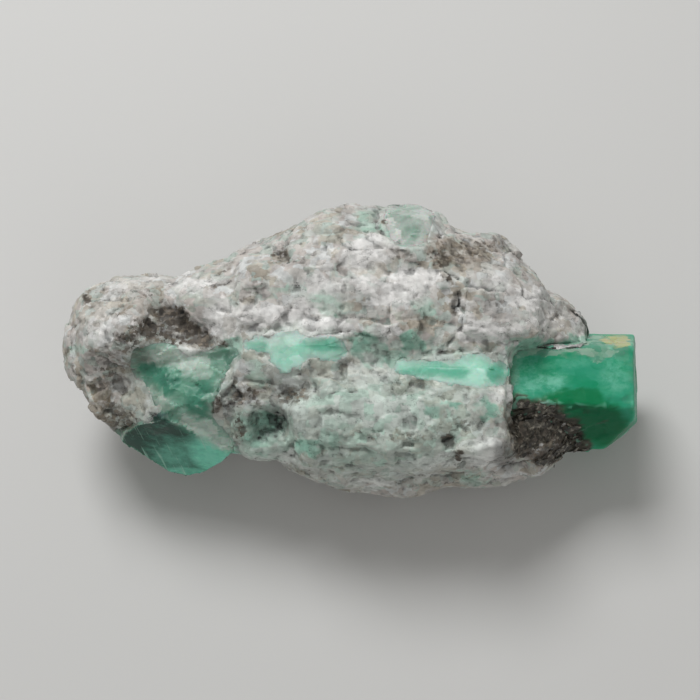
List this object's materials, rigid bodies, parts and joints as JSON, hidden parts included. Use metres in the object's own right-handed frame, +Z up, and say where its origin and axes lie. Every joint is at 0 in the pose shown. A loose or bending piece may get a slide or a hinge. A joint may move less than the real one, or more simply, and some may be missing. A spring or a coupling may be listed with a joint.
{
  "type": "raw emerald crystal",
  "caption": "Broken lump of pale host rock with a six-sided emerald prism at one end and smaller green beryl crystals grown in it.",
  "frame": {"origin": "centre of the bounding box, on the ground that the lump rests on", "axes": "+X along the lump towards the emerald prism, +Z up; the show face looks up and leans towards -Y"},
  "size_m": [0.0424, 0.0208, 0.0153],
  "materials": {
    "quartz_rock": "rough, granular",
    "deep_emerald": "glassy, natural crystal face",
    "mint_emerald": "translucent, waxy",
    "teal_emerald": "glassy on the facet, rough above",
    "pale_beryl": "translucent, waxy"
  },
  "bodies": {
    "root": {"host_rock": "quartz_rock", "emerald_prism": "deep_emerald", "emerald_band": "mint_emerald", "emerald_seam": "mint_emerald", "emerald_knob": "teal_emerald", "beryl_crown": "pale_beryl"}
  },
  "joints": []
}
